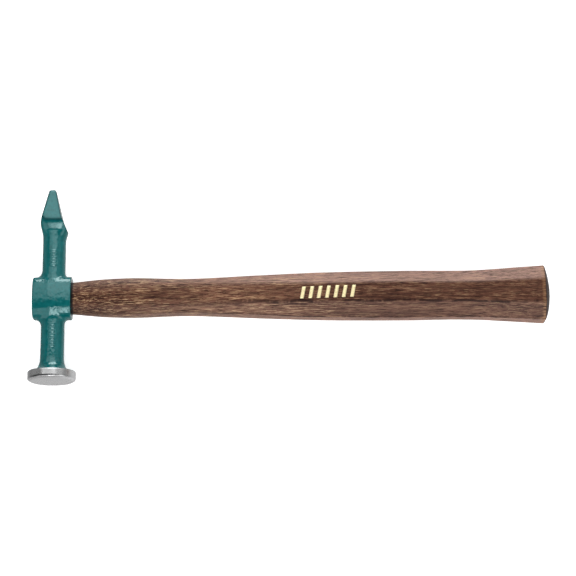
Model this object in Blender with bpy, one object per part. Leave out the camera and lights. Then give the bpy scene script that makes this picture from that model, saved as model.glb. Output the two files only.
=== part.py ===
"""Panel beater's hammer: a forged steel head with a round face and a ground pick, wedged on a hickory handle.

Metres, +Z up. The hammer lies on its side. The origin is the centre of the striking face, which looks
along -Y. +Y runs up the head axis to the pick, and +X runs along the handle to its butt. Each separate
piece is one object: head, handle, wood_wedge and steel_wedge. Nothing on the hammer moves.
"""

import math

import bmesh
import bpy
import numpy as np
from mathutils import Matrix, Vector

MM = 0.001
CLEARANCE = 0.3 * MM

# Head, measured up its axis from the striking face.
HEAD_LENGTH = 124.2 * MM
EYE_HEIGHT = 53.0 * MM
FACE_RADIUS = 15.0 * MM
FACE_BEVEL_WIDTH = 1.8 * MM
FACE_BEVEL_HEIGHT = 1.0 * MM
RIM_TOP = 5.6 * MM
FACE_BACK = 6.2 * MM
RIM_ROUNDING = 0.6 * MM
NECK_HALF_WIDTH = 7.3 * MM
NECK_HALF_DEPTH = 6.6 * MM
FLARE_RADIUS = 9.0 * MM
FLARE_START = 14.8 * MM
FLARE_SIDE_SHARE = 0.6
FLARE_STEPS = 8
BOSS_FILLET = 4.0 * MM
BOSS_FILLET_TURN = 75.0
BOSS_FILLET_STEPS = 4
HEAD_SIDES = 48
ROUND = 2.0

# The swelling below the pick, where the round neck turns into a square bar.
SWELL_START = 92.0 * MM
SWELL_END = 102.0 * MM
SWELL_STEPS = 8
BAR_HALF_WIDTH = 8.8 * MM
BAR_HALF_DEPTH = 8.5 * MM
BAR_SQUARENESS = 5.0

# The pick: four flat ground faces round a blunt end. Each face is (outward side, its distance from the
# head axis at the pick's end, how much it falls away along the head). The end is set away from the handle.
PICK_FACES = [
    ((1, 0, 0), 0.3 * MM, 0.25),
    ((-1, 0, 0), 3.8 * MM, 0.205),
    ((0, 0, 1), 2.2 * MM, 0.29),
    ((0, 0, -1), 2.2 * MM, 0.29),
]
PICK_END_ROUNDING = 1.2 * MM

# Eye: the oval boss that the handle passes through, along X.
BOSS_START = -12.6 * MM
BOSS_END = 11.6 * MM
BOSS_HALF_HEIGHT = 13.5 * MM
BOSS_HALF_THICKNESS = 9.3 * MM
BOSS_SQUARENESS = 2.8
BOSS_SIDES = 64
EYE_OVERSHOOT = 0.2

# Handle: eight-sided sections, each (distance from the head axis, half height, half thickness,
# half of the side flat, half of the edge flat, softness of the corners from 0 to 1), in millimetres.
TENON = [
    (-12.3, 10.4, 7.1, 4.8, 3.2, 1.0),
    (12.3, 10.1, 6.9, 4.8, 3.2, 1.0),
]
GRIP = [
    (12.3, 10.1, 6.9, 4.8, 3.2, 1.0),
    (30.0, 11.6, 8.4, 6.2, 4.8, 0.9),
    (45.0, 12.1, 9.3, 7.0, 5.6, 0.8),
    (85.0, 11.1, 9.6, 7.0, 6.0, 0.6),
    (125.0, 12.7, 10.9, 6.3, 5.8, 0.35),
    (165.0, 14.4, 11.9, 5.9, 4.9, 0.2),
    (220.0, 15.2, 11.7, 6.3, 4.1, 0.15),
    (265.0, 15.2, 11.0, 6.1, 4.2, 0.15),
    (290.0, 16.5, 11.5, 7.1, 5.3, 0.15),
    (307.5, 17.5, 12.3, 7.6, 6.0, 0.15),
]
GRIP_STEP = 8.0
CORNER_POINTS = 3
CORNER_CUT = (0.02, 0.47)
BUTT_CROWN = 4.4 * MM
BUTT_RINGS = 5
BUTT_EDGE = 0.8 * MM
BUTT_EDGE_SHARE = 0.95

# Wedges, driven into the tenon from the side away from the grip.
WOOD_WEDGE_LENGTH = 17.5 * MM
WOOD_WEDGE_THICK = 3.2 * MM
WOOD_WEDGE_THIN = 1.0 * MM
WOOD_WEDGE_HEIGHT = 19.0 * MM
KERF_HEIGHT = 25.0 * MM
STEEL_WEDGE_LENGTH = 13.0 * MM
STEEL_WEDGE_THICK = 2.2 * MM
STEEL_WEDGE_THIN = 0.7 * MM
STEEL_WEDGE_WIDTH = 13.0 * MM
STEEL_WEDGE_TURN = math.radians(40.0)
WEDGE_PROUD = 0.1 * MM


def clear_scene():
    for item in list(bpy.data.objects):
        bpy.data.objects.remove(item, do_unlink=True)


def material(name, colour, roughness, metallic):
    made = bpy.data.materials.new(name)
    made.use_nodes = True
    shader = made.node_tree.nodes["Principled BSDF"]
    shader.inputs["Base Color"].default_value = (*colour, 1.0)
    shader.inputs["Roughness"].default_value = roughness
    shader.inputs["Metallic"].default_value = metallic
    return made


def object_from(bm, name, finish=None):
    bmesh.ops.recalc_face_normals(bm, faces=bm.faces)
    mesh = bpy.data.meshes.new(name)
    bm.to_mesh(mesh)
    bm.free()
    made = bpy.data.objects.new(name, mesh)
    bpy.context.scene.collection.objects.link(made)
    if finish is not None:
        mesh.materials.append(finish)
    return made


def cutter_from(bm, name):
    made = object_from(bm, name)
    made.hide_render = True
    made.display_type = "WIRE"
    return made


def boolean(target, operand, operation):
    step = target.modifiers.new(operand.name, "BOOLEAN")
    step.operation = operation
    step.solver = "EXACT"
    step.object = operand


def shade_round(item, degrees):
    item.data.shade_smooth()
    item.data.set_sharp_from_angle(angle=math.radians(degrees))


def loft(rings):
    """A closed body through rings of points, with a flat cap at each end."""
    bm = bmesh.new()
    loops = [[bm.verts.new(point) for point in ring] for ring in rings]
    count = len(loops[0])
    for near, far in zip(loops, loops[1:]):
        for i in range(count):
            j = (i + 1) % count
            bm.faces.new((near[i], near[j], far[j], far[i]))
    bm.faces.new(loops[0])
    bm.faces.new(loops[-1])
    return bm


def grind(bm, point, normal):
    """Removes what lies beyond a plane and closes the cut with one flat face."""
    everything = bm.verts[:] + bm.edges[:] + bm.faces[:]
    cut = bmesh.ops.bisect_plane(
        bm, geom=everything, dist=1e-7, plane_co=point, plane_no=normal, clear_outer=True
    )
    edges = [item for item in cut["geom_cut"] if isinstance(item, bmesh.types.BMEdge)]
    bmesh.ops.holes_fill(bm, edges=edges, sides=0)


# Head


def eased(share):
    return share * share * (3.0 - 2.0 * share)


def neck_station(height, rise, side_share=1.0):
    """A station of the neck, moved outwards by rise at its front and back, and by a share of it at its sides."""
    return (height, NECK_HALF_WIDTH + side_share * rise, NECK_HALF_DEPTH + rise, ROUND)


def flare():
    """The neck widens in an arc down to the back of the striking face."""
    stations = []
    for i in range(FLARE_STEPS + 1):
        height = FACE_BACK + (FLARE_START - FACE_BACK) * i / FLARE_STEPS
        reach = math.sqrt(FLARE_RADIUS**2 - (FLARE_START - height) ** 2)
        stations.append(neck_station(height, FLARE_RADIUS - reach, FLARE_SIDE_SHARE))
    return stations


def boss_fillets():
    """The neck swells by an arc where it runs into the eye boss, below it and above it."""
    reach = BOSS_HALF_HEIGHT + BOSS_FILLET
    below = []
    above = []
    for i in range(BOSS_FILLET_STEPS + 1):
        angle = math.radians(BOSS_FILLET_TURN) * i / BOSS_FILLET_STEPS
        away = reach - BOSS_FILLET * math.sin(angle)
        rise = BOSS_FILLET * (1.0 - math.cos(angle))
        below.append(neck_station(EYE_HEIGHT - away, rise))
        above.append(neck_station(EYE_HEIGHT + away, rise))
    return below + above[::-1]


def swelling():
    """Below the pick the oval neck turns into a squarish bar."""
    stations = []
    for i in range(SWELL_STEPS + 1):
        share = i / SWELL_STEPS
        part = eased(share)
        stations.append(
            (
                SWELL_START + (SWELL_END - SWELL_START) * share,
                NECK_HALF_WIDTH + (BAR_HALF_WIDTH - NECK_HALF_WIDTH) * part,
                NECK_HALF_DEPTH + (BAR_HALF_DEPTH - NECK_HALF_DEPTH) * part,
                ROUND + (BAR_SQUARENESS - ROUND) * part,
            )
        )
    return stations


def head_profile():
    """(height above the striking face, half width, half depth, squareness), from the face to the pick's end."""
    face = FACE_RADIUS - FACE_BEVEL_WIDTH
    back = FACE_RADIUS - RIM_ROUNDING
    disc = [
        (0.0, face, face, ROUND),
        (FACE_BEVEL_HEIGHT, FACE_RADIUS, FACE_RADIUS, ROUND),
        (RIM_TOP, FACE_RADIUS, FACE_RADIUS, ROUND),
        (FACE_BACK, back, back, ROUND),
    ]
    pick_end = [(HEAD_LENGTH, BAR_HALF_WIDTH, BAR_HALF_DEPTH, BAR_SQUARENESS)]
    return disc + flare() + boss_fillets() + swelling() + pick_end


def oval_point(angle, half_width, half_depth, squareness):
    """A point on an oval that is round at squareness 2 and nearly a rectangle at 5."""
    across, out = math.cos(angle), math.sin(angle)
    reach = (abs(across) ** squareness + abs(out) ** squareness) ** (-1.0 / squareness)
    return half_width * reach * across, half_depth * reach * out


def head_ring(height, half_width, half_depth, squareness):
    ring = []
    for i in range(HEAD_SIDES):
        x, z = oval_point(2.0 * math.pi * i / HEAD_SIDES, half_width, half_depth, squareness)
        ring.append((x, height, z))
    return ring


def grind_pick(bm):
    for side, distance, slope in PICK_FACES:
        point = Vector(side) * distance + Vector((0, HEAD_LENGTH, 0))
        grind(bm, point, Vector(side) + Vector((0, slope, 0)))
    end = [e for e in bm.edges if all(v.co.y > HEAD_LENGTH - 1e-6 for v in e.verts)]
    bmesh.ops.bevel(
        bm, geom=end, offset=PICK_END_ROUNDING, segments=3, profile=0.5, affect="EDGES"
    )


def boss():
    rings = []
    for x in (BOSS_START, BOSS_END):
        ring = []
        for i in range(BOSS_SIDES):
            angle = 2.0 * math.pi * (i + 0.5) / BOSS_SIDES
            y, z = oval_point(angle, BOSS_HALF_HEIGHT, BOSS_HALF_THICKNESS, BOSS_SQUARENESS)
            ring.append((x, EYE_HEIGHT + y, z))
        rings.append(ring)
    return loft(rings)


def eye_opening():
    """The hole for the tenon: its section all the way through, grown by the clearance."""
    start, end = (grown(station, CLEARANCE / MM) for station in TENON)
    rings = []
    for share in (-EYE_OVERSHOOT, 1.0 + EYE_OVERSHOOT):
        rings.append(handle_ring([a + (b - a) * share for a, b in zip(start, end)]))
    return loft(rings)


def make_head(finish):
    bm = loft([head_ring(*station) for station in head_profile()])
    grind_pick(bm)
    head = object_from(bm, "head", finish)
    boolean(head, cutter_from(boss(), "eye_boss"), "UNION")
    boolean(head, cutter_from(eye_opening(), "eye_opening"), "DIFFERENCE")
    shade_round(head, 30)
    return head


# Handle


def grown(station, margin):
    """A section moved outwards by margin millimetres on all its sides."""
    x, half_height, half_thickness, side_flat, edge_flat, softness = station
    return (
        x,
        half_height + margin,
        half_thickness + margin,
        side_flat + margin / 2,
        edge_flat + margin / 2,
        softness,
    )


def handle_ring(station):
    """An eight-sided section whose corners are curves. Full softness turns it into an oval."""
    x, half_height, half_thickness, side_flat, edge_flat, softness = station
    corners = []
    for up, out in ((1, 1), (1, -1), (-1, -1), (-1, 1)):
        pair = [
            Vector((x, up * side_flat, out * half_thickness)),
            Vector((x, up * half_height, out * edge_flat)),
        ]
        corners += pair if up * out > 0 else pair[::-1]
    ring = []
    for i, corner in enumerate(corners):
        cut = CORNER_CUT[0] + CORNER_CUT[1] * softness
        before = corner.lerp(corners[i - 1], cut)
        after = corner.lerp(corners[(i + 1) % len(corners)], cut)
        for k in range(CORNER_POINTS):
            t = k / (CORNER_POINTS - 1)
            ring.append(before.lerp(corner, t).lerp(corner.lerp(after, t), t))
    return [(p.x * MM, EYE_HEIGHT + p.y * MM, p.z * MM) for p in ring]


def smooth_station(stations, x):
    """The section at x on a smooth curve through the stations."""
    table = np.array(stations)
    slopes = np.gradient(table, table[:, 0], axis=0)
    i = min(int(np.searchsorted(table[:, 0], x, side="right")) - 1, len(table) - 2)
    span = table[i + 1, 0] - table[i, 0]
    t = (x - table[i, 0]) / span
    section = (
        (1 + 2 * t) * (1 - t) ** 2 * table[i]
        + t * (1 - t) ** 2 * span * slopes[i]
        + t * t * (3 - 2 * t) * table[i + 1]
        - t * t * (1 - t) * span * slopes[i + 1]
    )
    section[0] = x
    return section.tolist()


def butt_rings(ring):
    """The butt's crown: the last section shrunk towards its middle as it rises along +X."""
    middle = Vector((ring[0][0], EYE_HEIGHT, 0.0))
    rings = []
    for i in range(BUTT_RINGS):
        share = BUTT_EDGE_SHARE * (1.0 - i / BUTT_RINGS)
        lift = BUTT_EDGE + (BUTT_CROWN - BUTT_EDGE) * (1.0 - share**2)
        shrunk = [middle.lerp(Vector(p), share) for p in ring]
        rings.append([(p.x + lift, p.y, p.z) for p in shrunk])
    return rings


def wedge(length, thick, thin, width, turn):
    """A wedge driven along +X from the tenon's end: thick at its head and thin at its tip."""
    start = TENON[0][0] * MM - WEDGE_PROUD
    rings = []
    for x, thickness in ((start, thick), (start + length, thin)):
        ring = []
        for up, out in ((1, 1), (1, -1), (-1, -1), (-1, 1)):
            ring.append(Vector((x, up * width / 2, out * thickness / 2)))
        rings.append(ring)
    bm = loft(rings)
    place = Matrix.Translation((0, EYE_HEIGHT, 0)) @ Matrix.Rotation(turn, 4, "X")
    bmesh.ops.transform(bm, matrix=place, verts=bm.verts)
    return bm


def wood_wedge_shape(margin, height):
    return wedge(
        WOOD_WEDGE_LENGTH + margin,
        WOOD_WEDGE_THICK + 2 * margin,
        WOOD_WEDGE_THIN + 2 * margin,
        height,
        0.0,
    )


def steel_wedge_shape(margin):
    return wedge(
        STEEL_WEDGE_LENGTH + margin,
        STEEL_WEDGE_THICK + 2 * margin,
        STEEL_WEDGE_THIN + 2 * margin,
        STEEL_WEDGE_WIDTH + 2 * margin,
        STEEL_WEDGE_TURN,
    )


def make_handle(finish, steel_slot):
    rings = [handle_ring(TENON[0])]
    first, last = GRIP[0][0], GRIP[-1][0]
    count = round((last - first) / GRIP_STEP)
    for i in range(count + 1):
        x = first + (last - first) * i / count
        rings.append(handle_ring(smooth_station(GRIP, x)))
    handle = object_from(loft(rings + butt_rings(rings[-1])), "handle", finish)
    kerf = cutter_from(wood_wedge_shape(CLEARANCE, KERF_HEIGHT), "kerf")
    boolean(handle, kerf, "DIFFERENCE")
    boolean(handle, steel_slot, "DIFFERENCE")
    shade_round(handle, 40)
    return handle


def make_wood_wedge(finish, steel_slot):
    made = object_from(wood_wedge_shape(0.0, WOOD_WEDGE_HEIGHT), "wood_wedge", finish)
    boolean(made, steel_slot, "DIFFERENCE")
    return made


def main():
    clear_scene()
    enamel = material("teal_enamel", (0.01, 0.16, 0.17), 0.3, 0.0)
    hickory = material("stained_hickory", (0.12, 0.055, 0.035), 0.55, 0.0)
    beech = material("beech", (0.45, 0.28, 0.15), 0.6, 0.0)
    steel = material("bare_steel", (0.55, 0.55, 0.56), 0.35, 1.0)
    steel_slot = cutter_from(steel_wedge_shape(CLEARANCE), "steel_wedge_slot")
    make_head(enamel)
    make_handle(hickory, steel_slot)
    make_wood_wedge(beech, steel_slot)
    object_from(steel_wedge_shape(0.0), "steel_wedge", steel)


main()
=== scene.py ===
"""Looks of the panel beater's hammer: enamelled steel head, stained hickory handle, wedges and a gold mark.

The shapes are made in millimetres, in the frame's own axes: the origin is the centre of the striking face,
+Y runs up the head to the pick, +X along the handle to its butt, and +Z is up from the floor it lies on.
"""

import math

import bmesh
import bpy
import numpy as np
from mathutils import Matrix, Vector, noise


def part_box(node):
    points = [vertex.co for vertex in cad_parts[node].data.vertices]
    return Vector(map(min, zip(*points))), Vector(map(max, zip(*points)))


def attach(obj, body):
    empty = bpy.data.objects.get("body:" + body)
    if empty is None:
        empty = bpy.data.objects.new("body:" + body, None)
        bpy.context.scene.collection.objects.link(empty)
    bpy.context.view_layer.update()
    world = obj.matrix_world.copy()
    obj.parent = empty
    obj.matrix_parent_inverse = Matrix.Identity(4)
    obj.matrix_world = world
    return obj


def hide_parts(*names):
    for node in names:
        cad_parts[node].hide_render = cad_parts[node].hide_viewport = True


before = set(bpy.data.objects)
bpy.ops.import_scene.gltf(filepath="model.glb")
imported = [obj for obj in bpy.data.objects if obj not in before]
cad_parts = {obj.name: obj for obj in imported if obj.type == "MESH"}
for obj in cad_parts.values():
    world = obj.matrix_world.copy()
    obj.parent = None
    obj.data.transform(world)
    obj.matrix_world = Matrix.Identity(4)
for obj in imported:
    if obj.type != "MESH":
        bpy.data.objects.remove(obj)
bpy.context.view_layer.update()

MM = 0.001
HEAD_BOX = [Vector(corner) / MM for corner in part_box("head")]
HANDLE_BOX = [Vector(corner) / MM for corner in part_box("handle")]

HEAD_LENGTH = HEAD_BOX[1].y
FACE_RADIUS = HEAD_BOX[1].z
EYE_HEIGHT = (HANDLE_BOX[0].y + HANDLE_BOX[1].y) / 2
TENON_START = HANDLE_BOX[0].x
BUTT_TOP = HANDLE_BOX[1].x
FLOOR_HEIGHT = HEAD_BOX[0].z
EYE = Vector((0.0, EYE_HEIGHT, 0.0)) * MM

# Striking face: a disc with a bevel at its front and a soft back edge, flaring into the lower neck.
BEVEL_WIDTH = 1.8
BEVEL_HEIGHT = 1.0
BEVEL_SOFTNESS = 0.6
DISC_BACK = 6.2
DISC_BACK_SOFTNESS = 0.7
STEEL_TOP = 4.6
ENAMEL_START = 5.9
FLARE_RADIUS = 9.0
FLARE_START = 14.8
FLARE_SIDE_SHARE = 0.6
STEM_OVERLAP = 2.0

# Necks: (height, half width across the head), and how much thinner they are from front to back.
# A squareness of 2 is an ellipse, and a higher one is nearer to a rectangle.
NECK_WIDTHS = [(FLARE_START, 7.45), (39.0, 7.35), (67.0, 7.25), (92.0, 7.25)]
NECK_THINNESS = 0.904
NECK_SQUARENESS = 2.0

# Swelling under the pick, from a round neck to a squarish bar: (start, end, growth, haste) of each side.
# A haste below 1 makes a side swell early.
SWELL_LEFT = (92.0, 102.0, 1.5, 1.0)
SWELL_RIGHT = (89.0, 99.0, 1.7, 1.0)
SWELL_FRONT = (96.4, 103.8, 1.95, 0.75)
BAR_SQUARENESS = 5.0

# Ground faces of the pick: distance from the head axis at the pick's end, and how fast it grows downwards.
FRONT_FACE = (2.2, 0.29)
LEFT_FACE = (3.8, 0.205)
RIGHT_FACE = (0.3, 0.228)
HOLLOW_START = 19.6
HOLLOW_SLOPE = 0.43
HOLLOW_ROUNDING = 0.3
LEFT_EDGE_ROUNDING = 1.1
RIGHT_EDGE_ROUNDING = 0.4
PICK_END_ROUNDING = 1.7
GROUND_EDGE_ROUNDING = 0.25

# Eye boss, an oval bar along the handle's axis.
BOSS_START = -12.6
BOSS_END = 11.6
BOSS_HALF_HEIGHT = 13.5
BOSS_HALF_THICKNESS = 9.3
BOSS_SQUARENESS = 2.8
BOSS_START_ROUNDING = 1.3
BOSS_END_ROUNDING = 0.35
CHEEK_CREASE = -2.5
CHEEK_TAPER = 0.09
FILLET_LEFT = 4.6
FILLET_RIGHT = 3.2
FILLET_CHANGE = 4.0
FILLET_FRONT_SHARE = 0.5
FILLET_FRONT_DEPTH = 6.0
EYE_CLEARANCE = 0.3
EYE_OVERRUN = 0.1
EYE_EDGE_ROUNDING = 0.35
TENON_SQUARENESS = 2.19

# The head's skin: the grid it is found on, and how it is evened out and brought back onto the surface.
HEAD_GRID = 0.4
GRID_MARGIN = 1.5
RELAX_ROUNDS = 3
RELAX_SHARE = 0.5
SURFACE_ROUNDS = 2
SLOPE_STEP = 0.02
SMALLEST_SLOPE = 0.05
LONGEST_MOVE = 0.3

# Unevenness of the forging between two heights, with waves of (size, share).
FORGING_RELIEF = 0.06
FORGED_HEIGHTS = (8.0, 99.0)
FORGED_FADE = 6.0
FORGING_WAVES = ((2.2, 1.0), (0.95, 0.6))

# Painted shade along the edges of the pick's ground faces, standing in for the dark room that the rounded
# edges reflect: the enamel is darkened and less glossy there, 1 on an edge and 0 away from it.
PAINTED_EDGE_SHADE_LAYER = "painted_edge_shade"
BASE_EDGE_WIDTH = 0.38
LEFT_EDGE_WIDTH = 0.75
RIGHT_EDGE_WIDTH = 0.55

# Raised plain bars on the front of the necks: (first bar's height, number of bars).
BAR_ROWS = [(21.5, 7), (73.5, 5)]
BAR_PITCH = 2.3
BAR_HALF_SIZE = (2.1, 0.55)
BAR_EDGE = 0.45
BAR_RELIEF = 0.38

# Handle: eight-sided sections, each (distance from the head axis, half height, half thickness,
# half of the side flat, half of the edge flat, softness of the corners from 0 to 1).
SECTIONS = [
    (12.3, 10.1, 6.9, 4.8, 3.2, 1.0),
    (30.0, 11.6, 8.4, 6.2, 4.8, 0.9),
    (45.0, 12.1, 9.3, 7.0, 5.6, 0.8),
    (85.0, 11.1, 9.6, 7.0, 6.0, 0.6),
    (125.0, 12.7, 10.9, 6.3, 5.8, 0.35),
    (165.0, 14.4, 11.9, 5.9, 4.9, 0.2),
    (220.0, 15.2, 11.7, 6.3, 4.1, 0.15),
    (265.0, 15.2, 11.0, 6.1, 4.2, 0.15),
    (290.0, 16.5, 11.5, 7.1, 5.3, 0.15),
    (307.5, 17.5, 12.3, 7.6, 6.0, 0.15),
]
TENON_SECTION = (TENON_START, 10.4, 7.1, 4.8, 3.2, 1.0)
TENON_END_SHARES = (0.85, 0.93, 0.97)
TENON_EDGE = 0.3
RING_STEP = 0.6
CORNER_POINTS = 6
FLAT_POINTS = 7
CORNER_CUT = (0.02, 0.47)
BUTT_EDGE = 0.8
BUTT_EDGE_SHARE = 0.96
BUTT_EDGE_RINGS = 6
CROWN_RINGS = 22
CROWN_MIDDLE = 0.04

# Relief of the grain, with waves of (length, width, shift of the pattern, share).
GRAIN_RELIEF = 0.07
GRAIN_WAVES = ((26.0, 1.5, 0.0, 0.6), (7.0, 0.7, 40.0, 0.4))

# A number on every point of the handle tells which flat it lies on: 0 to 1 is the lower back chamfer,
# then the bottom, the lower front chamfer, the front (3 to 4), the upper front chamfer, the top,
# the upper back chamfer and the back (7 to 8).
FLAT_LAYER = "flat"
FLAT_COUNT = 8
CORNER_SHARE = 0.1

# Wedges, driven into the tenon's end: (length, thickness at the end, thickness at the tip, width, turn).
WOOD_WEDGE = (17.5, 3.2, 1.0, 19.0, 0.0)
STEEL_WEDGE = (13.0, 2.2, 0.7, 13.0, math.radians(40.0))
KERF_HEIGHT = 25.0
WEDGE_PROUD = 0.1
WEDGE_EDGE = 0.2
WEDGE_SIDE_POINTS = 21
WEDGE_STEPS = 16
WEDGE_HEAD_SHARES = (0.2, 0.45, 0.7, 0.88)
WEDGE_RELIEF = 0.07
WEDGE_WAVE = (5.0, 0.9)
SLOT_OVERRUN = 1.0

# Gold mark: a row of slanted bars on the handle's front flat.
MARK_START = 155.5
MARK_BARS = 7
MARK_PITCH = 5.2
MARK_BAR_WIDTH = 2.3
MARK_HEIGHT = 7.6
MARK_LEAN = 0.2
MARK_CLIMB = 0.025
MARK_DROP = 0.3
MARK_ROWS = 9
MARK_COLUMNS = 4
FOIL_THICKNESS = 0.1

# Colours that are used more than once.
BARE_STEEL = (0.70, 0.705, 0.71)
DARK_GRAIN = (0.020, 0.006, 0.003)

# Camera, placed round the middle of the eye.
CAMERA_AZIMUTH = math.radians(-0.99)
CAMERA_ELEVATION = math.radians(75.89)
CAMERA_ROLL = math.radians(0.44)
CAMERA_DISTANCE = 1.1228
CAMERA_LENS = 111.7
SENSOR_WIDTH = 36.0
EYE_ACROSS = -0.1474
EYE_UP = -0.0068

# Table and backdrop, in metres. The table glows a little more far away, where the softboxes do not reach.
FLOOR_HALF_SIZE = 8.0
FLOOR_WHITE = (0.86, 0.86, 0.86, 1.0)
FLOOR_GLOW = 0.6
FAR_FLOOR_GLOW = 0.83
FAR_FLOOR = (0.9, 2.4)
BACKDROP_RADIUS = 7.0
BACKDROP_GLOW = 0.92

# Room round the softboxes: its greys from the bottom to the top, and its strength on the left and right.
ROOM_GREYS = ((0.2, 0.65), (0.5, 0.32), (0.85, 0.08))
LEFT_GLOW = 0.4
RIGHT_GLOW = 1.2

# Softboxes: (name, angles towards +Y, angles towards +X, radiance, distance from the eye in metres).
SOFTBOXES = [
    ("key_softbox", (11.5, 59.0), (-13.0, 28.0), 1.95, 1.1),
    ("key_left", (11.5, 59.0), (-42.0, -13.0), 1.1, 1.1),
    ("key_right", (11.5, 59.0), (28.0, 60.0), 0.4, 1.1),
    ("back_softbox", (62.0, 86.0), (-13.0, 25.0), 6.5, 1.6),
    ("left_softbox", (-10.0, 35.0), (-97.0, -55.0), 0.15, 1.6),
    ("front_softbox", (-60.0, -18.0), (-7.8, 11.0), 6.0, 1.6),
    ("front_right", (-60.0, -18.0), (11.0, 62.0), 1.2, 1.6),
    ("front_left", (-75.0, -20.0), (-60.0, -8.0), 1.0, 1.6),
]


# Shapes


def eased(share):
    share = np.clip(share, 0.0, 1.0)
    return share * share * (3.0 - 2.0 * share)


def smooth_min(a, b, reach):
    """The smaller of two fields, joined by a fillet of about that reach."""
    blend = np.clip(0.5 + 0.5 * (b - a) / reach, 0.0, 1.0)
    return b + (a - b) * blend - reach * blend * (1.0 - blend)


def smooth_max(a, b, reach):
    return -smooth_min(-a, -b, reach)


def oval(across, out, half_across, half_out, squareness):
    """A field that is zero on an oval: an ellipse at squareness 2 and nearly a rectangle at 5."""
    share = np.abs(across / half_across) ** squareness + np.abs(out / half_out) ** squareness
    return (share ** (1.0 / squareness) - 1.0) * (half_across + half_out) / 2


def disc_field(y, radius):
    disc = smooth_max(radius - FACE_RADIUS, y - DISC_BACK, DISC_BACK_SOFTNESS)
    slope = math.hypot(BEVEL_WIDTH, BEVEL_HEIGHT)
    bevel = (radius - FACE_RADIUS) * BEVEL_HEIGHT - (y - BEVEL_HEIGHT) * BEVEL_WIDTH
    disc = smooth_max(disc, bevel / slope, BEVEL_SOFTNESS)
    return np.maximum(disc, -y)


def swell(y, start, end, growth, haste):
    share = np.clip((y - start) / (end - start), 0.0, 1.0)
    return growth * eased(share**haste)


def stem_field(x, y, z):
    """The neck from the disc to the pick's end, before the pick is ground."""
    heights, widths = zip(*NECK_WIDTHS)
    neck = np.interp(y, heights, widths)
    below = np.clip(FLARE_START - y, 0.0, FLARE_START - DISC_BACK)
    flare = FLARE_RADIUS - np.sqrt(FLARE_RADIUS**2 - below**2)
    side = np.where(x > 0, swell(y, *SWELL_RIGHT), swell(y, *SWELL_LEFT))
    front = swell(y, *SWELL_FRONT)
    squared = eased((y - SWELL_LEFT[0]) / (SWELL_LEFT[1] - SWELL_LEFT[0]))
    squareness = NECK_SQUARENESS + (BAR_SQUARENESS - NECK_SQUARENESS) * squared
    half_width = neck + FLARE_SIDE_SHARE * flare + side
    stem = oval(x, z, half_width, neck * NECK_THINNESS + flare + front, squareness)
    return np.maximum(stem, DISC_BACK - STEM_OVERLAP - y)


def ground_face(out, y, distance, slope):
    return (out - distance - slope * (HEAD_LENGTH - y)) / math.hypot(1.0, slope)


def pick_sides(x, y, z):
    """The pick's front, left and right ground faces. The right one is hollow towards the handle."""
    front = ground_face(np.abs(z), y, *FRONT_FACE)
    left = ground_face(-x, y, *LEFT_FACE)
    right = ground_face(x, y, *RIGHT_FACE)
    hollow_distance = RIGHT_FACE[0] + (RIGHT_FACE[1] - HOLLOW_SLOPE) * HOLLOW_START
    hollow = ground_face(x, y, hollow_distance, HOLLOW_SLOPE)
    return front, left, smooth_min(right, hollow, HOLLOW_ROUNDING)


def pick_field(x, y, z):
    front, left, right = pick_sides(x, y, z)
    pick = smooth_max(front, left, LEFT_EDGE_ROUNDING)
    pick = smooth_max(pick, right, RIGHT_EDGE_ROUNDING)
    return smooth_max(pick, y - HEAD_LENGTH, PICK_END_ROUNDING)


def boss_field(x, y, z):
    thickness = BOSS_HALF_THICKNESS - CHEEK_TAPER * np.maximum(0.0, CHEEK_CREASE - x)
    boss = oval(y - EYE_HEIGHT, z, BOSS_HALF_HEIGHT, thickness, BOSS_SQUARENESS)
    boss = smooth_max(boss, BOSS_START - x, BOSS_START_ROUNDING)
    return smooth_max(boss, x - BOSS_END, BOSS_END_ROUNDING)


def eye_field(x, y, z):
    """The hole for the tenon, which narrows a little towards the handle."""
    along = (x - TENON_START) / (SECTIONS[0][0] - TENON_START)
    along = np.clip(along, -EYE_OVERRUN, 1.0 + EYE_OVERRUN)
    height = TENON_SECTION[1] + (SECTIONS[0][1] - TENON_SECTION[1]) * along + EYE_CLEARANCE
    thickness = TENON_SECTION[2] + (SECTIONS[0][2] - TENON_SECTION[2]) * along + EYE_CLEARANCE
    return oval(y - EYE_HEIGHT, z, height, thickness, TENON_SQUARENESS)


def head_field(points):
    """Distance outside the head's surface, roughly, for an array of points."""
    x, y, z = points[..., 0], points[..., 1], points[..., 2]
    stem = smooth_max(stem_field(x, y, z), pick_field(x, y, z), GROUND_EDGE_ROUNDING)
    body = smooth_min(disc_field(y, np.hypot(x, z)), stem, DISC_BACK_SOFTNESS)
    fillet = FILLET_LEFT + (FILLET_RIGHT - FILLET_LEFT) * eased((x + FILLET_CHANGE) / (2 * FILLET_CHANGE))
    fillet = fillet * (1.0 - (1.0 - FILLET_FRONT_SHARE) * eased(np.abs(z) / FILLET_FRONT_DEPTH))
    head = smooth_min(body, boss_field(x, y, z), fillet)
    return smooth_max(head, -eye_field(x, y, z), EYE_EDGE_ROUNDING)


def gradient(field, points):
    slopes = []
    for axis in range(3):
        nudge = np.zeros(3)
        nudge[axis] = SLOPE_STEP
        slopes.append((field(points + nudge) - field(points - nudge)) / (2 * SLOPE_STEP))
    return np.stack(slopes, axis=-1)


def onto_surface(field, points, rounds):
    """Moves points along the field's slope until they lie on its surface."""
    for _ in range(rounds):
        slope = gradient(field, points)
        size = np.maximum(np.sum(slope * slope, axis=1), SMALLEST_SLOPE)
        step = np.clip(field(points) / size, -LONGEST_MOVE, LONGEST_MOVE)
        points = points - slope * step[:, None]
    return points


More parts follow.
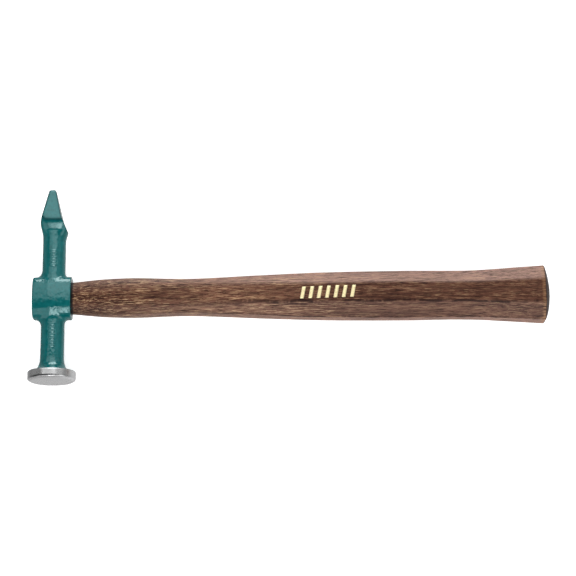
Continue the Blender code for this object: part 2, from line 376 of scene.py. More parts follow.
def surface_net(field, low, high, step):
    """Points and four-sided faces on the field's surface, one point for each grid cell that it crosses."""
    axes = [np.arange(a, b + step, step) for a, b in zip(low, high)]
    grid = np.stack(np.meshgrid(*axes, indexing="ij"), axis=-1)
    values = field(grid)
    inside = values < 0
    shape = np.array(values.shape) - 1
    total = np.zeros((*shape, 3))
    count = np.zeros(tuple(shape))
    crossings = []
    for axis in range(3):
        near = [slice(None)] * 3
        far = [slice(None)] * 3
        near[axis] = slice(None, -1)
        far[axis] = slice(1, None)
        crossed = np.argwhere(inside[tuple(near)] != inside[tuple(far)])
        ends = crossed.copy()
        ends[:, axis] += 1
        start_value = values[tuple(crossed.T)]
        share = start_value / (start_value - values[tuple(ends.T)])
        place = grid[tuple(crossed.T)] + (grid[tuple(ends.T)] - grid[tuple(crossed.T)]) * share[:, None]
        others = [i for i in range(3) if i != axis]
        for da, db in ((0, 0), (1, 0), (1, 1), (0, 1)):
            cell = crossed.copy()
            cell[:, others[0]] -= da
            cell[:, others[1]] -= db
            np.add.at(total, tuple(cell.T), place)
            np.add.at(count, tuple(cell.T), 1)
        crossings.append((axis, others, crossed, start_value < 0))
    used = count > 0
    number = np.full(tuple(shape), -1)
    number[used] = np.arange(used.sum())
    points = total[used] / count[used][:, None]
    faces = []
    for axis, others, crossed, leaving in crossings:
        corners = []
        for da, db in ((0, 0), (1, 0), (1, 1), (0, 1)):
            cell = crossed.copy()
            cell[:, others[0]] -= da
            cell[:, others[1]] -= db
            corners.append(number[tuple(cell.T)])
        quads = np.stack(corners, axis=1)
        flip = leaving if axis == 1 else ~leaving
        quads[flip] = quads[flip][:, ::-1]
        faces.append(quads)
    return points, np.concatenate(faces)


def relaxed(points, faces, share):
    """Moves each point part of the way to the middle of its neighbours, which evens out the faces."""
    total = np.zeros_like(points)
    count = np.zeros(len(points))
    for a, b in ((0, 1), (1, 2), (2, 3), (3, 0)):
        np.add.at(total, faces[:, a], points[faces[:, b]])
        np.add.at(total, faces[:, b], points[faces[:, a]])
        np.add.at(count, faces[:, a], 1)
        np.add.at(count, faces[:, b], 1)
    return points + (total / count[:, None] - points) * share


def add_piece(name, points, faces, materials):
    """A mesh object from points in millimetres."""
    mesh = bpy.data.meshes.new(name)
    mesh.from_pydata((np.asarray(points) * MM).tolist(), [], [list(map(int, face)) for face in faces])
    for finish in materials:
        mesh.materials.append(finish)
    mesh.shade_smooth()
    mesh.update()
    piece = bpy.data.objects.new(name, mesh)
    bpy.context.scene.collection.objects.link(piece)
    return piece


def forged(points, normals):
    """Gentle unevenness of forged and enamelled steel, kept off the ground pick and the turned disc."""
    lowest, highest = FORGED_HEIGHTS
    moved = []
    for point, normal in zip(points, normals):
        height = point[1]
        above = eased((height - lowest) / FORGED_FADE)
        amount = FORGING_RELIEF * above * eased((highest - height) / FORGED_FADE)
        if amount > 0:
            bump = sum(share * noise.noise(Vector(point) / size) for size, share in FORGING_WAVES)
            point = point + normal * (amount * bump)
        moved.append(point)
    return np.array(moved)


def raised_bars(points):
    """How far each point is lifted by the rows of plain bars on the front of the necks."""
    x, y, z = points.T
    lift = np.zeros(len(points))
    for start, count in BAR_ROWS:
        for i in range(count):
            across = eased((BAR_HALF_SIZE[0] - np.abs(x)) / BAR_EDGE)
            along = eased((BAR_HALF_SIZE[1] + BAR_EDGE / 2 - np.abs(y - start - i * BAR_PITCH)) / BAR_EDGE)
            lift = np.maximum(lift, across * along)
    return np.where(z > 0, BAR_RELIEF * lift, 0.0)


def painted_edge_shade_amounts(points):
    """How near each point is to an edge of the pick's ground faces, which sets how much painted shade the
    enamel gets there.
    """
    x, y, z = points.T
    front, left, right = pick_sides(x, y, z)
    stem = stem_field(x, y, z)
    pairs = (
        (stem, pick_field(x, y, z), BASE_EDGE_WIDTH),
        (front, left, LEFT_EDGE_WIDTH),
        (front, right, RIGHT_EDGE_WIDTH),
    )
    shade_on_edges = np.zeros(len(points))
    for a, b, width in pairs:
        shade_on_edges = np.maximum(shade_on_edges, np.exp(-(a * a + b * b) / width**2))
    return shade_on_edges


def make_head(enamel, steel):
    low = np.array([-FACE_RADIUS, 0.0, -FACE_RADIUS]) - GRID_MARGIN * HEAD_GRID
    high = np.array([FACE_RADIUS, HEAD_LENGTH, FACE_RADIUS]) + GRID_MARGIN * HEAD_GRID
    points, faces = surface_net(head_field, low, high, HEAD_GRID)
    for _ in range(RELAX_ROUNDS):
        points = onto_surface(head_field, relaxed(points, faces, RELAX_SHARE), SURFACE_ROUNDS)
    points = onto_surface(head_field, points, SURFACE_ROUNDS)
    slopes = gradient(head_field, points)
    normals = slopes / np.linalg.norm(slopes, axis=1)[:, None]
    points = forged(points, normals) + normals * raised_bars(points)[:, None]
    head = add_piece("forged_head", points, faces, [enamel, steel])
    heights = points[faces][:, :, 1].mean(axis=1)
    head.data.polygons.foreach_set("material_index", (heights < STEEL_TOP).astype(np.int32))
    layer = head.data.attributes.new(PAINTED_EDGE_SHADE_LAYER, "FLOAT", "POINT")
    layer.data.foreach_set("value", painted_edge_shade_amounts(points))
    head.data.update()
    return head


def section_at(x):
    """The handle's section at x, on a smooth curve through the sections."""
    table = np.array(SECTIONS)
    slopes = np.gradient(table, table[:, 0], axis=0)
    i = min(int(np.searchsorted(table[:, 0], x, side="right")) - 1, len(table) - 2)
    span = table[i + 1, 0] - table[i, 0]
    t = (x - table[i, 0]) / span
    section = (
        (1 + 2 * t) * (1 - t) ** 2 * table[i]
        + t * (1 - t) ** 2 * span * slopes[i]
        + t * t * (3 - 2 * t) * table[i + 1]
        - t * t * (1 - t) * span * slopes[i + 1]
    )
    section[0] = x
    return section


def section_ring(section):
    """Points round a section: eight flats with a quadratic curve at each corner."""
    x, half_height, half_thickness, side_flat, edge_flat, softness = section
    corners = []
    for up, out in ((1, 1), (1, -1), (-1, -1), (-1, 1)):
        pair = [
            np.array([x, up * side_flat, out * half_thickness]),
            np.array([x, up * half_height, out * edge_flat]),
        ]
        corners += pair if up * out > 0 else pair[::-1]
    cut = CORNER_CUT[0] + CORNER_CUT[1] * softness
    ring = []
    for i, corner in enumerate(corners):
        following = corners[(i + 1) % len(corners)]
        before = corner + (corners[i - 1] - corner) * cut
        after = corner + (following - corner) * cut
        for t in np.linspace(0.0, 1.0, CORNER_POINTS):
            ring.append((1 - t) ** 2 * before + 2 * t * (1 - t) * corner + t * t * after)
        flat_end = following + (corner - following) * cut
        for t in np.linspace(0.0, 1.0, FLAT_POINTS + 2)[1:-1]:
            ring.append(after + (flat_end - after) * t)
    return np.array(ring)


def ring_places():
    """The flat number of each point of a section's ring."""
    places = []
    for corner in range(FLAT_COUNT):
        places += list(corner + np.linspace(-CORNER_SHARE, CORNER_SHARE, CORNER_POINTS))
        flat = np.linspace(CORNER_SHARE, 1.0 - CORNER_SHARE, FLAT_POINTS + 2)[1:-1]
        places += list(corner + flat)
    return (np.array(places) + FLAT_COUNT / 2) % FLAT_COUNT


def grain(point):
    """Height of the wood's surface at a point: long shallow ridges along the handle."""
    x, y, z = point
    height = 0.0
    for length, width, shift, share in GRAIN_WAVES:
        height += share * noise.noise(Vector((x / length, y / width + shift, z / width)))
    return GRAIN_RELIEF * height


def handle_rings():
    """Rings from the tenon's end to the last section, with the relief of the grain."""
    first, last = SECTIONS[0][0], SECTIONS[-1][0]
    rings = []
    start = np.array(TENON_SECTION)
    end = np.array(SECTIONS[0])
    for share in TENON_END_SHARES:
        ring = section_ring(start)
        ring[:, 1:] *= share
        rings.append(ring)
    count = round((end[0] - start[0]) / (2 * RING_STEP))
    for i in range(count):
        section = start + (end - start) * i / count
        if i == 0:
            section[0] += TENON_EDGE
        rings.append(section_ring(section))
    count = round((last - first) / RING_STEP)
    for i in range(count + 1):
        rings.append(section_ring(section_at(first + (last - first) * i / count)))
    for ring in rings:
        centre = np.array([ring[0][0], 0.0, 0.0])
        out = ring - centre
        out /= np.linalg.norm(out, axis=1)[:, None]
        lift = np.array([grain(point) for point in ring])
        ring += out * lift[:, None]
    return rings


def butt_rings(ring):
    """The crown: the last section shrinks towards its middle as it rises along +X."""
    crown = BUTT_TOP - ring[0][0] - BUTT_EDGE
    rings = []
    shares = list(np.linspace(1.0, BUTT_EDGE_SHARE, BUTT_EDGE_RINGS))[1:]
    shares += list(np.linspace(BUTT_EDGE_SHARE, CROWN_MIDDLE, CROWN_RINGS))[1:]
    for share in shares:
        edge = np.clip((share - BUTT_EDGE_SHARE) / (1.0 - BUTT_EDGE_SHARE), 0.0, 1.0)
        lift = BUTT_EDGE * math.sqrt(1.0 - edge * edge) + crown * (1.0 - share * share)
        shrunk = ring.copy()
        shrunk[:, 0] += lift
        shrunk[:, 1:] *= share
        rings.append(shrunk)
    return rings


def lofted(rings):
    """Points and faces of a closed body through the rings, with a fan at each end."""
    count = len(rings[0])
    points = np.concatenate([[rings[0].mean(axis=0)], *rings, [rings[-1].mean(axis=0)]])
    faces = []
    for r in range(len(rings) - 1):
        base = 1 + r * count
        for i in range(count):
            j = (i + 1) % count
            faces.append((base + i, base + j, base + count + j, base + count + i))
    last = 1 + (len(rings) - 1) * count
    for i in range(count):
        j = (i + 1) % count
        faces.append((0, 1 + j, 1 + i))
        faces.append((last + i, last + j, len(points) - 1))
    return points, faces


def turned(points, turn):
    """Turns points about the handle's axis and moves them to the height of the eye."""
    spin = np.array(Matrix.Rotation(turn, 3, "X"))
    return points @ spin.T + [0.0, EYE_HEIGHT, 0.0]


def slot_block(size, margin, width):
    """The space that a wedge needs in what it is driven into."""
    length, thick, thin, _, turn = size
    rings = []
    for x, thickness in ((TENON_START - SLOT_OVERRUN, thick), (TENON_START + length + margin, thin)):
        half = thickness / 2 + margin
        ring = [(x, up * width / 2, out * half) for up, out in ((1, 1), (1, -1), (-1, -1), (-1, 1))]
        rings.append(np.array(ring))
    points, faces = lofted(rings)
    return add_piece("slot", turned(points, turn), faces, [])


def block_ring(x, half_width, half_thickness):
    """Points round a rectangle with cut corners, close together along its long sides."""
    edge = min(WEDGE_EDGE, half_thickness / 2)
    along = np.linspace(-1.0, 1.0, WEDGE_SIDE_POINTS) * (half_width - edge)
    ring = [(x, a, half_thickness) for a in along]
    ring += [(x, half_width, half_thickness - edge), (x, half_width, edge - half_thickness)]
    ring += [(x, a, -half_thickness) for a in along[::-1]]
    ring += [(x, -half_width, edge - half_thickness), (x, -half_width, half_thickness - edge)]
    return np.array(ring)


def make_wedge(name, size, finish):
    """A wedge with cut edges, uneven faces and a hammered end."""
    length, thick, thin, width, turn = size
    start = TENON_START - WEDGE_PROUD
    rings = []
    for share in WEDGE_HEAD_SHARES:
        ring = block_ring(start, width / 2 - WEDGE_EDGE, thick / 2 - WEDGE_EDGE)
        ring[:, 1:] *= share
        rings.append(ring)
    rings.append(block_ring(start, width / 2 - WEDGE_EDGE, thick / 2 - WEDGE_EDGE))
    for i in range(WEDGE_STEPS + 1):
        share = i / WEDGE_STEPS
        x = start + WEDGE_EDGE + (length - WEDGE_EDGE) * share
        rings.append(block_ring(x, width / 2, (thick + (thin - thick) * share) / 2))
    points, faces = lofted(rings)
    wave_length, wave_width = WEDGE_WAVE
    uneven = []
    for x, y, z in points:
        lift = WEDGE_RELIEF * noise.noise(Vector((x / wave_length, y / wave_width, z / wave_width)))
        uneven.append((x + lift, y + lift, z * (1.0 + lift)))
    return add_piece(name, turned(np.array(uneven), turn), faces, [finish])


def cut_away(piece, cutter):
    """Cuts one mesh out of another and keeps the result as the piece's own mesh."""
    step = piece.modifiers.new("cut", "BOOLEAN")
    step.operation = "DIFFERENCE"
    step.solver = "EXACT"
    step.object = cutter
    bpy.context.view_layer.update()
    evaluated = piece.evaluated_get(bpy.context.evaluated_depsgraph_get())
    mesh = bpy.data.meshes.new_from_object(evaluated)
    piece.modifiers.clear()
    piece.data = mesh
    bpy.data.objects.remove(cutter)


def steel_slot():
    return slot_block(STEEL_WEDGE, EYE_CLEARANCE, STEEL_WEDGE[3] + 2 * EYE_CLEARANCE)


def make_handle(wood):
    rings = handle_rings()
    rings += butt_rings(rings[-1])
    points, faces = lofted(rings)
    points = points + [0.0, EYE_HEIGHT, 0.0]
    handle = add_piece("hickory_handle", points, faces, [wood])
    layer = handle.data.attributes.new(FLAT_LAYER, "FLOAT", "POINT")
    places = [0.0, *np.tile(ring_places(), len(rings)), 0.0]
    layer.data.foreach_set("value", places)
    cut_away(handle, slot_block(WOOD_WEDGE, EYE_CLEARANCE, KERF_HEIGHT))
    cut_away(handle, steel_slot())
    return handle


# Materials


class Graph:
    """A small helper to build a material's nodes."""

    def __init__(self, name):
        self.material = bpy.data.materials.new(name)
        self.material.use_nodes = True
        self.nodes = self.material.node_tree.nodes
        self.links = self.material.node_tree.links
        self.shader = self.nodes["Principled BSDF"]

    def add(self, kind, inputs=None, **settings):
        """A node with settings, and inputs that are values or other nodes' sockets."""
        node = self.nodes.new(kind)
        for key, value in settings.items():
            setattr(node, key, value)
        for key, value in (inputs or {}).items():
            self.feed(node.inputs[key], value)
        return node

    def feed(self, socket, value):
        if isinstance(value, bpy.types.NodeSocket):
            self.links.new(value, socket)
        else:
            socket.default_value = value

    def place(self, scale):
        """Object coordinates in millimetres divided by a size for each axis."""
        coordinates = self.add("ShaderNodeTexCoord").outputs["Object"]
        mapping = self.add("ShaderNodeMapping", {"Vector": coordinates})
        mapping.inputs["Scale"].default_value = [1.0 / (size * MM) for size in scale]
        return mapping.outputs["Vector"]

    def along(self, axis, start, end):
        """0 to 1 as a coordinate, in millimetres, goes from start to end."""
        coordinates = self.add("ShaderNodeTexCoord").outputs["Object"]
        split = self.add("ShaderNodeSeparateXYZ", {"Vector": coordinates})
        inputs = {"Value": split.outputs[axis], "From Min": start * MM, "From Max": end * MM}
        return self.add("ShaderNodeMapRange", inputs).outputs["Result"]

    def noise(self, scale, detail=2.0, roughness=0.5, distortion=0.0):
        inputs = {
            "Vector": self.place(scale),
            "Scale": 1.0,
            "Detail": detail,
            "Roughness": roughness,
            "Distortion": distortion,
        }
        return self.add("ShaderNodeTexNoise", inputs).outputs["Fac"]

    def ramp(self, value, *stops):
        """Colours or greys at places along a ramp: (place, colour) or (place, grey)."""
        node = self.add("ShaderNodeValToRGB", {"Fac": value})
        elements = node.color_ramp.elements
        while len(elements) < len(stops):
            elements.new(0.5)
        for element, (place, colour) in zip(elements, stops):
            element.position = place
            element.color = (*colour, 1.0) if isinstance(colour, tuple) else (colour, colour, colour, 1.0)
        return node.outputs["Color"]

    def math(self, operation, a, b):
        node = self.add("ShaderNodeMath", operation=operation)
        self.feed(node.inputs[0], a)
        self.feed(node.inputs[1], b)
        return node.outputs["Value"]

    def mix(self, share, a, b, blend="MIX"):
        node = self.add("ShaderNodeMix", data_type="RGBA", blend_type=blend)
        self.feed(node.inputs["Factor"], share)
        self.feed(node.inputs[6], a if isinstance(a, bpy.types.NodeSocket) else (*a, 1.0))
        self.feed(node.inputs[7], b if isinstance(b, bpy.types.NodeSocket) else (*b, 1.0))
        return node.outputs[2]

    def bump(self, height, distance, strength=1.0, under=None):
        inputs = {"Height": height, "Distance": distance * MM, "Strength": strength}
        if under is not None:
            inputs["Normal"] = under
        return self.add("ShaderNodeBump", inputs).outputs["Normal"]

    def finish(self, **inputs):
        for name, value in inputs.items():
            self.feed(self.shader.inputs[name.replace("_", " ")], value)
        return self.material


def enamel_finish():
    """Mottled teal enamel with a soft orange-peel surface over forged steel, which is bare on the disc, with
    painted shade along the pick's ground edges.
    """
    graph = Graph("teal_enamel")
    mottling = graph.noise((2.2, 2.2, 2.2), detail=4.0, roughness=0.65)
    colour = graph.ramp(mottling, (0.3, (0.0, 0.075, 0.078)), (0.7, (0.003, 0.113, 0.117)))
    # Painted shade: the enamel is darkened and made less glossy along the edges of the pick's ground faces.
    shade_on_edges = graph.add("ShaderNodeAttribute", attribute_name=PAINTED_EDGE_SHADE_LAYER).outputs["Fac"]
    colour = graph.mix(graph.math("MULTIPLY", shade_on_edges, 0.8), colour, (0.0, 0.018, 0.022))
    peel = graph.noise((1.3, 1.3, 1.3), detail=3.0, roughness=0.6)
    bare = graph.along("Y", ENAMEL_START + 0.1, ENAMEL_START - 0.1)
    normal = graph.bump(graph.math("MULTIPLY", peel, graph.math("SUBTRACT", 1.0, bare)), 0.12, 0.6)
    roughness = graph.ramp(mottling, (0.3, 0.09), (0.7, 0.15))
    gloss = graph.math("SUBTRACT", 0.75, graph.math("MULTIPLY", shade_on_edges, 0.7))
    return graph.finish(
        Base_Color=graph.mix(bare, colour, BARE_STEEL),
        Metallic=bare,
        Roughness=graph.mix(bare, roughness, (0.28, 0.28, 0.28)),
        Normal=normal,
        Specular_IOR_Level=gloss,
        Specular_Tint=graph.mix(bare, (0.72, 1.0, 1.0), (1.0, 1.0, 1.0)),
    )


def steel_finish():
    """Ground steel: fine rings on the striking face, and a duller rim with a painted dark reflection low on
    its front and left side.
    """
    graph = Graph("ground_steel")
    coordinates = graph.place((1.0, 1.0, 1.0))
    rings = graph.add(
        "ShaderNodeTexWave",
        {"Vector": coordinates, "Scale": 0.9, "Distortion": 1.5, "Detail": 3.0},
        wave_type="RINGS",
        rings_direction="Y",
    ).outputs["Fac"]
    clouds = graph.noise((4.0, 4.0, 4.0), detail=3.0)
    face = graph.ramp(clouds, (0.3, (0.86, 0.855, 0.865)), (0.7, (0.94, 0.935, 0.945)))
    height = graph.along("Y", 0.0, 3.0)
    rim = graph.ramp(height, (0.33, 0.0), (0.38, 1.0))
    colour = graph.mix(rim, face, BARE_STEEL)
    # Painted dark reflection: a dark line low on the rim, only on its front and left, standing in for the
    # dark room mirrored in the bevel's edge and dimming its glint.
    edge = graph.ramp(height, (0.33, 0.0), (0.40, 0.92), (0.62, 0.92), (0.76, 0.0))
    left = graph.ramp(graph.along("X", -13.0, 7.0), (0.0, 0.0), (0.2, 1.0), (0.75, 1.0), (1.0, 0.1))
    upper = graph.along("Z", 4.0, 9.0)
    edge = graph.math("MULTIPLY", edge, graph.math("MULTIPLY", left, upper))
    colour = graph.mix(edge, colour, (0.06, 0.06, 0.065))
    turning = graph.math("MULTIPLY", rings, graph.math("SUBTRACT", 1.0, rim))
    normal = graph.bump(turning, 0.02, 0.4)
    roughness = graph.ramp(clouds, (0.3, 0.24), (0.7, 0.32))
    return graph.finish(Base_Color=colour, Metallic=1.0, Roughness=roughness, Normal=normal)


def corner_lines(graph, flat, lines):
    """Dark lines that wander along the handle's corners: (corner, half width of the line, darkness)."""
    wander = graph.math("MULTIPLY", graph.noise((45.0, 30.0, 30.0), detail=5.0, roughness=0.75), 0.5)
    place = graph.math("DIVIDE", graph.math("ADD", flat, graph.math("SUBTRACT", wander, 0.25)), FLAT_COUNT)
    stops = [(0.0, 0.0)]
    for corner, half, darkness in lines:
        for offset, value in ((-half, 0.0), (-half / 2, darkness), (half / 2, darkness), (half, 0.0)):
            stops.append(((corner + offset) / FLAT_COUNT, value))
    return graph.ramp(place, *stops)


def by_flat(graph, flat, values):
    """A value or colour for each of the handle's flats, with short changes at the corners."""
    stops = []
    for i, value in enumerate(values):
        stops.append(((i + CORNER_SHARE) / FLAT_COUNT, value))
        stops.append(((i + 1.0 - CORNER_SHARE) / FLAT_COUNT, value))
    return graph.ramp(graph.math("DIVIDE", flat, FLAT_COUNT), *stops)


def stained_wood(graph, flat, figure):
    """The wood's colour: brown figure, with a painted sheen on the flats that face the lights, which fades
    towards the head, paler at the waist, and thin dark veins.
    """
    colour = graph.ramp(
        figure,
        (0.30, (0.052, 0.016, 0.009)),
        (0.5, (0.100, 0.040, 0.024)),
        (0.70, (0.145, 0.067, 0.041)),
    )
    # Painted sheen: the bottom, the top and the upper front chamfer are paler and pinker, as if lit from the
    # sides, less so near the head.
    painted_sheen = by_flat(graph, flat, (0.0, 0.65, 0.13, 0.03, 0.56, 0.50, 0.0, 0.03))
    sheen_fade = graph.ramp(graph.along("X", 25.0, 100.0), (0.0, 0.15), (1.0, 1.0))
    colour = graph.mix(graph.math("MULTIPLY", painted_sheen, sheen_fade), colour, (0.44, 0.25, 0.19))
    waist = graph.ramp(graph.along("X", 50.0, 170.0), (0.0, 0.0), (0.45, 0.65), (1.0, 0.0))
    colour = graph.mix(waist, colour, (0.26, 0.13, 0.085))
    veins = graph.ramp(figure, (0.40, 0.0), (0.42, 0.7), (0.44, 0.7), (0.46, 0.0))
    veins = graph.math("MULTIPLY", veins, graph.ramp(graph.along("X", 90.0, 170.0), (0.0, 1.0), (1.0, 0.5)))
    return graph.mix(veins, colour, DARK_GRAIN)


def with_flecks(graph, flecks, pores, colour):
    """Golden flecks, which are fewer towards the butt, dark streaks between them, and pores."""
    patches = graph.noise((40.0, 4.0, 4.0), detail=2.0)
    plenty = graph.ramp(graph.along("X", 120.0, 220.0), (0.0, 1.0), (1.0, 0.45))
    plenty = graph.math("MULTIPLY", plenty, graph.ramp(patches, (0.38, 0.35), (0.6, 1.0)))
    light = graph.math("MULTIPLY", graph.ramp(flecks, (0.57, 0.0), (0.61, 1.0)), plenty)
    colour = graph.mix(light, colour, (0.54, 0.35, 0.20))
    dark = graph.ramp(flecks, (0.40, 0.9), (0.45, 0.0))
    colour = graph.mix(dark, colour, DARK_GRAIN)
    pits = graph.ramp(pores, (0.32, 0.7), (0.42, 0.0))
    return graph.mix(pits, colour, (0.020, 0.007, 0.005))


def with_edges(graph, flat, flecks, colour):
    """Dark broken lines along the front corners, a worn rim at the butt and a painted shadow on the handle
    next to the head, where the boss shades it.
    """
    lines = corner_lines(graph, flat, ((2.0, 0.07, 0.8), (3.0, 0.09, 0.9), (4.0, 0.05, 0.3)))
    breaks = graph.noise((9.0, 40.0, 40.0), detail=3.0, roughness=0.7)
    breaks = graph.ramp(breaks, (0.42, 0.15), (0.52, 1.0))
    corners = graph.math("MULTIPLY", breaks, graph.along("X", 60.0, 150.0))
    colour = graph.mix(graph.math("MULTIPLY", lines, corners), colour, (0.018, 0.004, 0.002))
    band = graph.ramp(graph.along("X", 305.5, 307.5), (0.0, 0.0), (0.5, 0.5), (1.0, 0.6))
    band = graph.math("MULTIPLY", band, graph.ramp(flecks, (0.45, 0.0), (0.55, 1.0)))
    colour = graph.mix(band, colour, (0.42, 0.24, 0.12))
    # Painted shadow: the handle is nearly black for a few millimetres next to the head.
    head_shadow = graph.ramp(graph.along("X", 12.0, 15.0), (0.0, 1.0), (0.2, 0.95), (0.45, 0.0))
    return graph.mix(head_shadow, colour, (0.006, 0.004, 0.004))


def hickory_finish():
    """Dark stained hickory, with the grain along the handle and dark end grain on the butt."""
    graph = Graph("stained_hickory")
    flat = graph.add("ShaderNodeAttribute", attribute_name=FLAT_LAYER).outputs["Fac"]
    figure = graph.noise((60.0, 2.4, 2.4), detail=4.0, roughness=0.62, distortion=0.3)
    flecks = graph.noise((8.5, 0.36, 0.36), detail=2.0, roughness=0.65, distortion=0.15)
    pores = graph.noise((3.0, 0.30, 0.30), detail=2.0)
    colour = stained_wood(graph, flat, figure)
    colour = with_flecks(graph, flecks, pores, colour)
    colour = with_edges(graph, flat, flecks, colour)
    # Painted shade: each flat gets its own darkening, most on the front and back flats and none on the upper
    # front chamfer, as the lights would fall on them.
    flat_shading = (
        (0.95, 0.95, 0.95),
        (0.9, 0.9, 0.9),
        (0.95, 0.95, 0.95),
        (0.85, 0.80, 0.76),
        (1.0, 1.0, 1.0),
        (0.9, 0.9, 0.9),
        (0.95, 0.95, 0.95),
        (0.85, 0.80, 0.76),
    )
    colour = graph.mix(1.0, colour, by_flat(graph, flat, flat_shading), "MULTIPLY")
    gloss = by_flat(graph, flat, (0.3, 0.25, 0.22, 0.1, 0.3, 0.25, 0.3, 0.1))
    end = graph.along("X", 307.7, 308.3)
    end_grain = graph.noise((3.0, 0.6, 0.6), detail=3.0, roughness=0.7)
    ends = graph.ramp(end_grain, (0.35, (0.018, 0.010, 0.009)), (0.65, (0.060, 0.038, 0.033)))
    colour = graph.mix(end, colour, ends)
    gloss = graph.mix(end, gloss, (0.2, 0.2, 0.2))
    normal = graph.bump(pores, 0.12, 0.7, graph.bump(flecks, 0.2, 0.7))
    return graph.finish(Base_Color=colour, Roughness=0.5, Normal=normal, Specular_IOR_Level=gloss)


def wedge_wood_finish():
    graph = Graph("wedge_wood")
    fibres = graph.noise((20.0, 0.5, 0.5), detail=3.0)
    colour = graph.ramp(fibres, (0.3, (0.26, 0.15, 0.08)), (0.7, (0.45, 0.29, 0.16)))
    return graph.finish(Base_Color=colour, Roughness=0.6, Normal=graph.bump(fibres, 0.1, 0.6))


def foil_finish():
    graph = Graph("gold_foil")
    wear = graph.noise((1.2, 0.5, 0.5), detail=4.0, roughness=0.7)
    colour = graph.ramp(wear, (0.32, (0.52, 0.40, 0.17)), (0.5, (0.86, 0.76, 0.44)))
    normal = graph.bump(wear, 0.05, 0.5)
    return graph.finish(Base_Color=colour, Metallic=0.35, Roughness=0.4, Normal=normal)


# Gold mark


def front_height(x):
    return section_at(x)[2]


def make_mark(foil):
    """A row of slanted bars that follow the handle's front flat."""
    points = []
    faces = []
    for bar in range(MARK_BARS):
        left = MARK_START + bar * MARK_PITCH
        middle = MARK_CLIMB * (left - MARK_START) - MARK_DROP
        first = len(points)
        for row in range(MARK_ROWS):
            up = (row / (MARK_ROWS - 1) - 0.5) * MARK_HEIGHT
            for column in range(MARK_COLUMNS):
                x = left + MARK_BAR_WIDTH * column / (MARK_COLUMNS - 1) + MARK_LEAN * up
                points.append((x, EYE_HEIGHT + middle + up, front_height(x) + FOIL_THICKNESS))
        for row in range(MARK_ROWS - 1):
            for column in range(MARK_COLUMNS - 1):
                a = first + row * MARK_COLUMNS + column
                faces.append((a, a + 1, a + 1 + MARK_COLUMNS, a + MARK_COLUMNS))
    mark = add_piece("gold_mark", points, faces, [foil])
    thicken = mark.modifiers.new("thickness", "SOLIDIFY")
    thicken.thickness = 2 * FOIL_THICKNESS * MM
    thicken.offset = -1.0
    return mark


# Studio


def add_floor():
    mesh = bpy.data.meshes.new("floor")
    signs = ((-1, -1), (1, -1), (1, 1), (-1, 1))
    corners = [(FLOOR_HALF_SIZE * x, FLOOR_HALF_SIZE * y, FLOOR_HEIGHT * MM) for x, y in signs]
    mesh.from_pydata(corners, [], [(0, 1, 2, 3)])
    graph = Graph("floor_white")
    coordinates = graph.add("ShaderNodeTexCoord").outputs["Object"]
    length = graph.add("ShaderNodeVectorMath", {"Vector": coordinates}, operation="LENGTH")
    inputs = {
        "Value": length.outputs["Value"],
        "From Min": FAR_FLOOR[0],
        "From Max": FAR_FLOOR[1],
        "To Min": FLOOR_GLOW,
        "To Max": FAR_FLOOR_GLOW,
    }
    glow = graph.add("ShaderNodeMapRange", inputs).outputs["Result"]
    white = (1.0, 1.0, 1.0, 1.0)
    mesh.materials.append(
        graph.finish(Base_Color=FLOOR_WHITE, Roughness=0.9, Emission_Color=white, Emission_Strength=glow)
    )
    floor = bpy.data.objects.new("floor", mesh)
    floor.visible_glossy = False
    bpy.context.scene.collection.objects.link(floor)


def sky_direction(along, across):
    """The direction at these angles from straight up: along towards +Y and across towards +X, in degrees."""
    y, x = math.radians(along), math.radians(across)
    return Vector((math.sin(x), math.sin(y) * math.cos(x), math.cos(y) * math.cos(x)))


def add_softbox(name, along, across, radiance, distance):
    """A soft light that fills these ranges of angles from straight up, seen from the eye of the hammer."""
    middle = sky_direction(sum(along) / 2, sum(across) / 2)
    side = (sky_direction(sum(along) / 2, across[1]) - sky_direction(sum(along) / 2, across[0])).normalized()
    up = middle.cross(side)
    data = bpy.data.lights.new(name, "AREA")
    data.shape = "RECTANGLE"
    data.size = 2 * distance * math.tan(math.radians(across[1] - across[0]) / 2)
    data.size_y = 2 * distance * math.tan(math.radians(along[1] - along[0]) / 2)
    data.energy = radiance * math.pi * data.size * data.size_y
    light = bpy.data.objects.new(name, data)
    place = Matrix((side, up, middle)).transposed().to_4x4()
    place.translation = EYE + middle * distance
    light.matrix_world = place
    light.visible_camera = False
    bpy.context.scene.collection.objects.link(light)


def add_world():
    """A dim room that is pale below, dark above, and darker on the left."""
    world = bpy.data.worlds.new("studio")
    world.use_nodes = True
    nodes, links = world.node_tree.nodes, world.node_tree.links
    coordinates = nodes.new("ShaderNodeTexCoord")
    split = nodes.new("ShaderNodeSeparateXYZ")
    links.new(coordinates.outputs["Generated"], split.inputs[0])
    height = nodes.new("ShaderNodeMapRange")
    height.inputs["From Min"].default_value = -1.0
    links.new(split.outputs["Z"], height.inputs["Value"])
    ramp = nodes.new("ShaderNodeValToRGB")
    ramp.color_ramp.elements.new(0.5)
    for element, (place, grey) in zip(ramp.color_ramp.elements, ROOM_GREYS):
        element.position = place
        element.color = (grey, grey, grey, 1.0)
    links.new(height.outputs["Result"], ramp.inputs["Fac"])
    links.new(ramp.outputs["Color"], nodes["Background"].inputs["Color"])
    across = nodes.new("ShaderNodeMapRange")
    across.inputs["From Min"].default_value = -1.0
    across.inputs["To Min"].default_value = LEFT_GLOW
    across.inputs["To Max"].default_value = RIGHT_GLOW
    links.new(split.outputs["X"], across.inputs["Value"])
    links.new(across.outputs["Result"], nodes["Background"].inputs["Strength"])
    bpy.context.scene.world = world


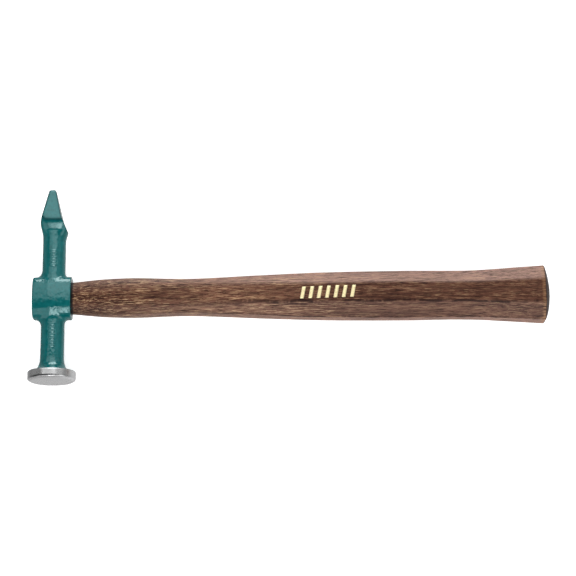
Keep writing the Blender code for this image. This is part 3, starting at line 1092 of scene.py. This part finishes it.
def add_backdrop():
    """A plain pale dome behind everything, which only the camera sees."""
    bm = bmesh.new()
    bmesh.ops.create_uvsphere(bm, u_segments=48, v_segments=24, radius=BACKDROP_RADIUS)
    mesh = bpy.data.meshes.new("backdrop")
    bm.to_mesh(mesh)
    bm.free()
    graph = Graph("backdrop_white")
    black = (0.0, 0.0, 0.0, 1.0)
    white = (1.0, 1.0, 1.0, 1.0)
    mesh.materials.append(
        graph.finish(Base_Color=black, Emission_Color=white, Emission_Strength=BACKDROP_GLOW)
    )
    backdrop = bpy.data.objects.new("backdrop", mesh)
    for kind in ("diffuse", "glossy", "transmission", "shadow"):
        setattr(backdrop, f"visible_{kind}", False)
    bpy.context.scene.collection.objects.link(backdrop)


def add_camera():
    azimuth, elevation = CAMERA_AZIMUTH, CAMERA_ELEVATION
    back = Vector(
        (
            math.sin(azimuth) * math.cos(elevation),
            -math.cos(azimuth) * math.cos(elevation),
            math.sin(elevation),
        )
    )
    level_right = Vector((0.0, 0.0, 1.0)).cross(back).normalized()
    level_up = back.cross(level_right)
    right = level_right * math.cos(CAMERA_ROLL) + level_up * math.sin(CAMERA_ROLL)
    up = level_up * math.cos(CAMERA_ROLL) - level_right * math.sin(CAMERA_ROLL)
    data = bpy.data.cameras.new("camera")
    data.sensor_width = SENSOR_WIDTH
    data.lens = CAMERA_LENS
    data.clip_start = 0.01
    camera = bpy.data.objects.new("camera", data)
    place = Matrix((right, up, back)).transposed().to_4x4()
    place.translation = EYE + back * CAMERA_DISTANCE - right * EYE_ACROSS - up * EYE_UP
    camera.matrix_world = place
    bpy.context.scene.collection.objects.link(camera)
    bpy.context.scene.camera = camera


bpy.context.scene.view_settings.view_transform = "Standard"

enamel = enamel_finish()
steel = steel_finish()
hickory = hickory_finish()
wedge_wood = wedge_wood_finish()
foil = foil_finish()

head = make_head(enamel, steel)
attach(head, "root")
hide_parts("head")

handle = make_handle(hickory)
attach(handle, "root")
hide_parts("handle")

wood_wedge = make_wedge("driven_wood_wedge", WOOD_WEDGE, wedge_wood)
cut_away(wood_wedge, steel_slot())
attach(wood_wedge, "root")
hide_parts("wood_wedge")

steel_wedge = make_wedge("driven_steel_wedge", STEEL_WEDGE, steel)
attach(steel_wedge, "root")
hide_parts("steel_wedge")

mark = make_mark(foil)
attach(mark, "root")

add_floor()
add_backdrop()
for softbox in SOFTBOXES:
    add_softbox(*softbox)
add_world()
add_camera()
